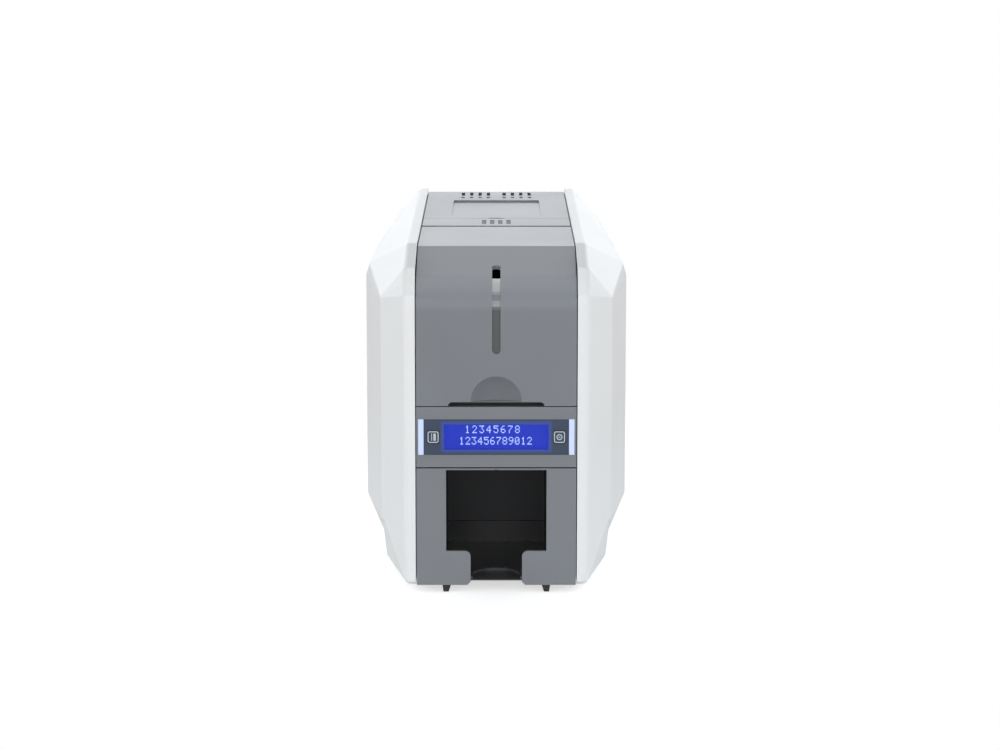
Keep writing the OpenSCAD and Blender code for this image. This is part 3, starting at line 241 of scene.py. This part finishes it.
# Painted light by height: paler scoop floor, and a painted highlight on the scoop rim
painted_light_bands = tree.nodes.new("ShaderNodeValToRGB")
painted_light_bands.color_ramp.interpolation = "CONSTANT"
painted_light_bands.color_ramp.elements.new(0.5)
for stop, (at, tone) in zip(painted_light_bands.color_ramp.elements, tray_painted_light_tones):
    stop.position = (at - tray_low) / tray_span
    stop.color = (tone, tone * 1.02, tone * 1.1, 1)
tree.links.new(level.outputs[0], painted_light_bands.inputs["Fac"])
tray_painted_light_mix = tree.nodes.new("ShaderNodeMix")
tray_painted_light_mix.data_type = "RGBA"
tray_painted_light_mix.inputs["Factor"].default_value = tray_painted_light_share
tray_color = tree.nodes["Principled BSDF"].inputs["Base Color"]
tree.links.new(tray_color.links[0].from_socket, tray_painted_light_mix.inputs["A"])
tree.links.new(painted_light_bands.outputs["Color"], tray_painted_light_mix.inputs["B"])
tree.links.new(tray_painted_light_mix.outputs["Result"], tray_color)
dress("output_tray", tray_plastic, 0.0003)


# Metal parts: side plates, head bracket and socket shells of brushed steel sheet; pins, studs,
# pinch rollers and pinions of bright turned steel; sintered bronze bushes pressed into the
# plates; motors in dark drawn cans. The brush lines are a noise stretched along one axis.
def metal(name, color, rough, stretch):
    material = bpy.data.materials.new(name)
    material.use_nodes = True
    tree = material.node_tree
    shader = tree.nodes["Principled BSDF"]
    shader.inputs["Base Color"].default_value = (*color, 1)
    shader.inputs["Metallic"].default_value = 1
    place = tree.nodes.new("ShaderNodeTexCoord")
    turn = tree.nodes.new("ShaderNodeMapping")
    turn.inputs["Scale"].default_value = stretch
    lines = tree.nodes.new("ShaderNodeTexNoise")
    lines.inputs["Scale"].default_value = 90
    lines.inputs["Detail"].default_value = 5
    tree.links.new(place.outputs["Object"], turn.inputs["Vector"])
    tree.links.new(turn.outputs[0], lines.inputs["Vector"])
    gloss = tree.nodes.new("ShaderNodeMapRange")
    gloss.inputs["To Min"].default_value = rough - 0.1
    gloss.inputs["To Max"].default_value = rough + 0.12
    tree.links.new(lines.outputs[0], gloss.inputs["Value"])
    tree.links.new(gloss.outputs[0], shader.inputs["Roughness"])
    bump = tree.nodes.new("ShaderNodeBump")
    bump.inputs["Strength"].default_value = 0.2
    bump.inputs["Distance"].default_value = 0.00002
    tree.links.new(lines.outputs[0], bump.inputs["Height"])
    tree.links.new(bump.outputs["Normal"], shader.inputs["Normal"])
    return material


sheet_steel = metal("sheet_steel", (0.55, 0.56, 0.58), 0.4, (1, 0.6, 14))
for node in ("left_side_plate", "right_side_plate", "head_bracket", "usb_socket", "network_socket"):
    dress(node, sheet_steel)
turned_steel = metal("turned_steel", (0.66, 0.67, 0.69), 0.28, (16, 1, 1))
for node in ("hinge_pins", "feed_pinch_roller", "rear_pinch_roller", "idler_studs", "drive_pinion",
             "ribbon_pinion"):
    dress(node, turned_steel)
dress("shaft_bushes", metal("sintered_bronze", (0.42, 0.26, 0.11), 0.45, (3, 3, 3)))
motor_case = metal("motor_case", (0.1, 0.1, 0.11), 0.45, (14, 1, 1))
for node in ("drive_motor", "ribbon_motor"):
    dress(node, motor_case)


# Rollers: rubber sleeves on bright steel shafts, which show beyond the ends of the sleeve. The
# drive rollers are dark and dull, and the cleaning roller is tacky blue silicone.
def roller(name, rubber, half):
    material = moulded(name, rubber, 0.6, grain=0.0003, depth=0.00004, mottle=0.1)
    tree = material.node_tree
    steel = tree.nodes.new("ShaderNodeBsdfPrincipled")
    steel.inputs["Base Color"].default_value = (0.62, 0.63, 0.65, 1)
    steel.inputs["Metallic"].default_value = 1
    steel.inputs["Roughness"].default_value = 0.28
    place = tree.nodes.new("ShaderNodeTexCoord")
    axes = tree.nodes.new("ShaderNodeSeparateXYZ")
    tree.links.new(place.outputs["Object"], axes.inputs[0])
    out = tree.nodes.new("ShaderNodeMath")
    out.operation = "ABSOLUTE"
    tree.links.new(axes.outputs["X"], out.inputs[0])
    beyond = tree.nodes.new("ShaderNodeMath")
    beyond.operation = "GREATER_THAN"
    beyond.inputs[1].default_value = half + 0.0001
    tree.links.new(out.outputs[0], beyond.inputs[0])
    mix = tree.nodes.new("ShaderNodeMixShader")
    tree.links.new(beyond.outputs[0], mix.inputs[0])
    tree.links.new(tree.nodes["Principled BSDF"].outputs[0], mix.inputs[1])
    tree.links.new(steel.outputs[0], mix.inputs[2])
    tree.links.new(mix.outputs[0], tree.nodes["Material Output"].inputs["Surface"])
    return material


pick_half, drive_half, cleaning_half = 0.012, 0.0233, 0.0223
dress("pick_roller", roller("pick_rubber", (0.025, 0.025, 0.028), pick_half))
drive_rubber = roller("drive_rubber", (0.03, 0.03, 0.033), drive_half)
for node in ("feed_roller", "platen_roller", "rear_roller"):
    dress(node, drive_rubber)
dress("cleaning_roller", roller("cleaning_silicone", (0.09, 0.17, 0.33), cleaning_half))

# Gears: moulded in natural acetal, slightly translucent and waxy. The roller gears are pressed
# on their shafts, and the idlers turn on the studs of the left plate.
acetal = moulded("acetal", (0.62, 0.6, 0.53), 0.38, mottle=0.03)
acetal.node_tree.nodes["Principled BSDF"].inputs["Subsurface Weight"].default_value = 0.15
acetal.node_tree.nodes["Principled BSDF"].inputs["Subsurface Scale"].default_value = 0.002
for node in ("pick_gear", "feed_gear", "platen_gear", "rear_gear", "front_idler_gear",
             "middle_idler_gear", "rear_idler_gear"):
    dress(node, acetal)

# Print head and ribbon: a glazed ceramic head fixed under its bracket on the top cover, and a
# glossy dyed film stretched between its two spools, which have the same finish.
dress("print_head", moulded("glazed_ceramic", (0.7, 0.68, 0.62), 0.25, coat=0.5))
film = moulded("ribbon_film", (0.06, 0.02, 0.09), 0.18, coat=0.6, mottle=0.2)
for node in ("ribbon_film", "supply_spool", "takeup_spool"):
    dress(node, film)

# Circuit boards: glass-fibre sheet under green solder mask. A brick pattern draws the fine
# copper tracks that show through the mask.
mask_green, mask_dark, track_green = (0.006, 0.07, 0.022), (0.005, 0.06, 0.02), (0.03, 0.16, 0.05)
board = moulded("solder_mask", mask_green, 0.35, coat=0.3, mottle=0.25)
tree = board.node_tree
tracks = tree.nodes.new("ShaderNodeTexBrick")
tracks.inputs["Scale"].default_value = 260
tracks.inputs["Mortar Size"].default_value = 0.06
tracks.inputs["Color1"].default_value = (*mask_green, 1)
tracks.inputs["Color2"].default_value = (*mask_dark, 1)
tracks.inputs["Mortar"].default_value = (*track_green, 1)
place = tree.nodes.new("ShaderNodeTexCoord")
tree.links.new(place.outputs["Object"], tracks.inputs["Vector"])
tree.links.new(tracks.outputs["Color"], tree.nodes["Principled BSDF"].inputs["Base Color"])
for node in ("main_board", "panel_board"):
    dress(node, board)

# Grey column: hopper cover, control band, stacker frame, latch bar, top and rear covers. All are
# housing mouldings in one satin grey plastic, and the hopper and top covers swing on pins.
grey_plastic = moulded("grey_plastic", (0.207, 0.22, 0.239), 0.4, mottle=0.02)
for node in ("hopper_cover", "control_fascia", "stacker_frame", "latch_bar", "top_cover",
             "rear_cover"):
    dress(node, grey_plastic, 0.0003)

# Level window: a strip of smoked, polished acrylic set in the slot of the hopper cover, so that
# the height of the card stack can be seen. Its grey is darkened further as painted shade, for the
# shadow that falls in the slot.
# Dark base colour: smoked tint plus painted shade of the slot
clear = moulded("clear_strip", (0.11, 0.115, 0.125), 0.14, coat=1.0, mottle=0.02)
clear.node_tree.nodes["Principled BSDF"].inputs["Coat IOR"].default_value = 1.8
clear.node_tree.nodes["Principled BSDF"].inputs["Transmission Weight"].default_value = 0.25
dress("level_window", clear)

# Latch grips: four dark rubber pads sunk side by side into the latch bar. Each is a straight
# block with a low crown, in two steps of inset from the edge and rise.
pad_count, pad_pitch, pad_seat = 4, 0.0054, 0.0008
pad_w, pad_l, pad_h = 0.0026, 0.0216, 0.0006
pad_wall = pad_h * 0.7
pad_crown = ((0.0002, pad_h * 0.25), (0.0004, pad_h * 0.05))
latch_low, latch_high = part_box("latch_bar")
bm = bmesh.new()
for i in range(pad_count):
    x = (i - (pad_count - 1) / 2) * pad_pitch
    y = (latch_low[1] + latch_high[1]) / 2
    z = latch_high[2] - pad_seat + pad_wall / 2
    pad = bmesh.ops.create_cube(bm, size=1, matrix=Matrix.Translation((x, y, z))
                                @ Matrix.Diagonal((pad_w, pad_l, pad_wall, 1)))
    faces = [face for vert in pad["verts"] for face in vert.link_faces]
    top = max(faces, key=lambda face: face.calc_center_median().z)
    bm.normal_update()
    for inset, rise in pad_crown:
        bmesh.ops.inset_individual(bm, faces=[top], thickness=inset, depth=rise,
                                   use_even_offset=True)
bmesh.ops.recalc_face_normals(bm, faces=bm.faces)
grip_mesh = bpy.data.meshes.new("latch_grips")
bm.to_mesh(grip_mesh)
bm.free()
grips = bpy.data.objects.new("latch_grips", grip_mesh)
scene.collection.objects.link(grips)
grip_rubber = moulded("grip_rubber", (0.07, 0.075, 0.085), 0.6, grain=0.0006, depth=0.00005,
                      mottle=0.1)
grip_mesh.materials.append(grip_rubber)
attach(grips, "latch")

# Light bars: milky blue diffusers that glow a little, set in the control band on either side of
# the window.
glow = moulded("light_diffuser", (0.5, 0.58, 0.86), 0.4, mottle=0.02)
shader = glow.node_tree.nodes["Principled BSDF"]
shader.inputs["Emission Color"].default_value = (0.62, 0.72, 0.95, 1)
shader.inputs["Emission Strength"].default_value = 0.28
dress("light_bars", glow, 0.0003)

# Panel window: a plate of polished acrylic, set in the control band and printed slate blue from
# behind. The print stops in a soft edge round the display's view, with a faint blue glow there.
view_half_w, view_half_h, view_mid = 0.0322, 0.0082, 0.0966
view_fade, halo_reach = 0.0008, 0.0022
slate = moulded("window_slate", (0.047, 0.068, 0.11), 0.2, coat=0.1, mottle=0.04)
tree = slate.node_tree
place = tree.nodes.new("ShaderNodeTexCoord")
axes = tree.nodes.new("ShaderNodeSeparateXYZ")
tree.links.new(place.outputs["Object"], axes.inputs[0])
farther = tree.nodes.new("ShaderNodeMath")
farther.operation = "MAXIMUM"
for i, (axis, middle, half) in enumerate((("X", 0.0, view_half_w), ("Z", view_mid, view_half_h))):
    centred = tree.nodes.new("ShaderNodeMath")
    centred.operation = "SUBTRACT"
    centred.inputs[1].default_value = middle
    tree.links.new(axes.outputs[axis], centred.inputs[0])
    away = tree.nodes.new("ShaderNodeMath")
    away.operation = "ABSOLUTE"
    tree.links.new(centred.outputs[0], away.inputs[0])
    past = tree.nodes.new("ShaderNodeMath")
    past.operation = "SUBTRACT"
    past.inputs[1].default_value = half
    tree.links.new(away.outputs[0], past.inputs[0])
    tree.links.new(past.outputs[0], farther.inputs[i])
unprinted = tree.nodes.new("ShaderNodeMapRange")
unprinted.inputs["From Min"].default_value = 0
unprinted.inputs["From Max"].default_value = -view_fade
tree.links.new(farther.outputs[0], unprinted.inputs["Value"])
halo = tree.nodes.new("ShaderNodeMapRange")
halo.inputs["From Min"].default_value = halo_reach
halo.inputs["From Max"].default_value = -view_fade
halo.inputs["To Max"].default_value = 0.4
tree.links.new(farther.outputs[0], halo.inputs["Value"])
shader = tree.nodes["Principled BSDF"]
shader.inputs["Emission Color"].default_value = (0.01, 0.06, 0.8, 1)
tree.links.new(halo.outputs[0], shader.inputs["Emission Strength"])
see_through = tree.nodes.new("ShaderNodeBsdfTransparent")
mix = tree.nodes.new("ShaderNodeMixShader")
tree.links.new(unprinted.outputs[0], mix.inputs[0])
tree.links.new(shader.outputs[0], mix.inputs[1])
tree.links.new(see_through.outputs[0], mix.inputs[2])
tree.links.new(mix.outputs[0], tree.nodes["Material Output"].inputs["Surface"])
dress("panel_window", slate, 0.00015)

# Display: a blue backlit liquid crystal behind the window, framed by its bezel. Two lines of
# plain numbers stand on it in dot-matrix cells of 5 by 7 dots.
backlight = moulded("display_blue", (0.003, 0.01, 0.16), 0.3)
shader = backlight.node_tree.nodes["Principled BSDF"]
shader.inputs["Emission Color"].default_value = (0.006, 0.04, 0.74, 1)
shader.inputs["Emission Strength"].default_value = 0.5
dress("lcd_glass", backlight)

# Each digit's cell, row by row from the top
cells = {
    "0": "01110100011001110101110011000101110", "1": "00100011000010000100001000010001110",
    "2": "01110100010000100010001000100011111", "3": "11111000100010000010000011000101110",
    "4": "00010001100101010010111110001000010", "5": "11111100001111000001000011000101110",
    "6": "00110010001000011110100011000101110", "7": "11111000010001000100010000100001000",
    "8": "01110100011000101110100011000101110", "9": "01110100011000101111000010001001100",
}
# Each line's digits, left end, pitch of the cells and top
number_lines = (("12345678", -0.0187, 0.00434, 0.1030),
                ("123456789012", -0.0222, 0.00375, 0.0959))
cell_columns, dot_w, dot_h, dot_t = 5, 0.00052, 0.00062, 0.0001
column_step, row_step, dot_lift = 0.00057, 0.00068, 0.00012
dot_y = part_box("lcd_glass")[0][1] - dot_lift
bm = bmesh.new()
for text, left, cell_pitch, top in number_lines:
    for i, digit in enumerate(text):
        for k, dot in enumerate(cells[digit]):
            if dot == "1":
                x = left + i * cell_pitch + (k % cell_columns) * column_step
                z = top - (k // cell_columns) * row_step
                bmesh.ops.create_cube(bm, size=1, matrix=Matrix.Translation((x, dot_y, z))
                                      @ Matrix.Diagonal((dot_w, dot_t, dot_h, 1)))
digit_mesh = bpy.data.meshes.new("display_numbers")
bm.to_mesh(digit_mesh)
bm.free()
digits = bpy.data.objects.new("display_numbers", digit_mesh)
scene.collection.objects.link(digits)
lit_dots = moulded("lit_dots", (0.35, 0.45, 0.75), 0.4)
shader = lit_dots.node_tree.nodes["Principled BSDF"]
shader.inputs["Emission Color"].default_value = (0.42, 0.55, 1.0, 1)
shader.inputs["Emission Strength"].default_value = 0.5
digit_mesh.materials.append(lit_dots)
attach(digits, "printer")

# Keys: two slate-blue caps in the holes of the window. Each has an outline with rounded corners
# printed on it in pale ink, round two bars on the left key and a ring with a dash on the right.
key_slate = moulded("key_slate", (0.05, 0.072, 0.105), 0.22, coat=0.3, mottle=0.04)
symbol_ink = moulded("symbol_ink", (0.62, 0.68, 0.74), 0.45)
outline_w, outline_h, outline_r, line_w = 0.0066, 0.0070, 0.0013, 0.0005
bars = ((-0.0009, 0.0005), (0.0009, 0.0014))
bar_h, bar_r = 0.0044, 0.0002
ring_w, hole_w = 0.0036, 0.0026
dash_w, dash_h, dash_r = 0.0012, 0.0006, 0.0002
hairline, hairline_r, ink_t = 0.0001, 0.00004, 0.00004


# A flat band of ink between two outlines, each with its width, height and corner radius
def band(bm, middle, outer, inner, steps=32):
    x, y, z = middle
    for width, height, radius in (outer, inner):
        stand = Matrix.Rotation(math.radians(90), 4, "X") @ Matrix.Rotation(math.pi / steps, 4, "Z")
        loop = bmesh.ops.create_circle(bm, segments=steps, radius=radius, matrix=stand)
        for vert in loop["verts"]:
            vert.co.x += x + math.copysign(width / 2 - radius, vert.co.x)
            vert.co.z += z + math.copysign(height / 2 - radius, vert.co.z)
            vert.co.y = y
    bmesh.ops.bridge_loops(bm, edges=[edge for edge in bm.edges if edge.is_wire])


for node, body in (("left_key", "left_button"), ("right_key", "right_button")):
    dress(node, key_slate, 0.0003)
    low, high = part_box(node)
    x, y, z = (low[0] + high[0]) / 2, low[1] - ink_t, (low[2] + high[2]) / 2
    bm = bmesh.new()
    band(bm, (x, y, z), (outline_w, outline_h, outline_r),
         (outline_w - 2 * line_w, outline_h - 2 * line_w, outline_r - line_w))
    if node == "left_key":
        for offset, bar_w in bars:
            band(bm, (x + offset, y, z), (bar_w, bar_h, bar_r),
                 (hairline, bar_h - 2 * bar_r, hairline_r))
    else:
        band(bm, (x, y, z), (ring_w, ring_w, ring_w / 2), (hole_w, hole_w, hole_w / 2))
        band(bm, (x, y, z), (dash_w, dash_h, dash_r), (hairline, hairline, hairline_r))
    bm.normal_update()
    bmesh.ops.reverse_faces(bm, faces=[face for face in bm.faces if face.normal.y > 0])
    symbol_mesh = bpy.data.meshes.new(body + "_symbol")
    bm.to_mesh(symbol_mesh)
    bm.free()
    symbol = bpy.data.objects.new(body + "_symbol", symbol_mesh)
    scene.collection.objects.link(symbol)
    symbol_mesh.materials.append(symbol_ink)
    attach(symbol, body)

# White side covers: two deep mouldings in glossy white plastic, one on either side of the grey
# column. They hang over the side plates.
white_plastic = moulded("white_plastic", (0.9, 0.91, 0.915), 0.34, mottle=0.01)
white_plastic.node_tree.nodes["Principled BSDF"].inputs["Specular IOR Level"].default_value = 0.12
for node in ("left_side_cover", "right_side_cover"):
    dress(node, white_plastic)

# Feet: black rubber with a dusty, open grain, fixed under the front and rear of the base.
foot_rubber = moulded("foot_rubber", (0.02, 0.02, 0.022), 0.75, grain=0.0006, depth=0.00006,
                      mottle=0.2)
for node in ("front_feet", "rear_feet"):
    dress(node, foot_rubber, 0.0002)

# Rear screws: four plain pan heads of turned steel in the wall of the rear cover, with their
# tops just under its face. Each is a short cylinder with a dome in two steps of inset and rise.
head_r, head_h, head_seat, head_sides = 0.0032, 0.0013, 0.0014, 24
head_wall = head_h * 0.45
side_share = math.cos(math.pi / head_sides)
head_dome = ((head_r * 0.2 * side_share, head_h * 0.4), (head_r * 0.4 * side_share, head_h * 0.15))
screw_x, screw_low, screw_high = 0.042, 0.014, 0.182
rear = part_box("rear_cover")[1][1]
bm = bmesh.new()
for x in (-screw_x, screw_x):
    for z in (screw_low, screw_high):
        stand = Matrix.Translation((x, rear - head_seat + head_wall / 2, z))
        head = bmesh.ops.create_cone(bm, cap_ends=True, segments=head_sides, radius1=head_r,
                                     radius2=head_r, depth=head_wall,
                                     matrix=stand @ Matrix.Rotation(math.radians(90), 4, "X"))
        faces = [face for vert in head["verts"] for face in vert.link_faces]
        top = max(faces, key=lambda face: face.calc_center_median().y)
        bm.normal_update()
        for inset, rise in head_dome:
            bmesh.ops.inset_individual(bm, faces=[top], thickness=inset, depth=rise,
                                       use_even_offset=True)
bmesh.ops.recalc_face_normals(bm, faces=bm.faces)
screw_mesh = bpy.data.meshes.new("rear_screws")
bm.to_mesh(screw_mesh)
bm.free()
for face in screw_mesh.polygons:
    face.use_smooth = len(face.vertices) == 4
screws = bpy.data.objects.new("rear_screws", screw_mesh)
scene.collection.objects.link(screws)
screw_mesh.materials.append(metal("screw_steel", (0.5, 0.5, 0.52), 0.35, (4, 4, 4)))
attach(screws, "printer")
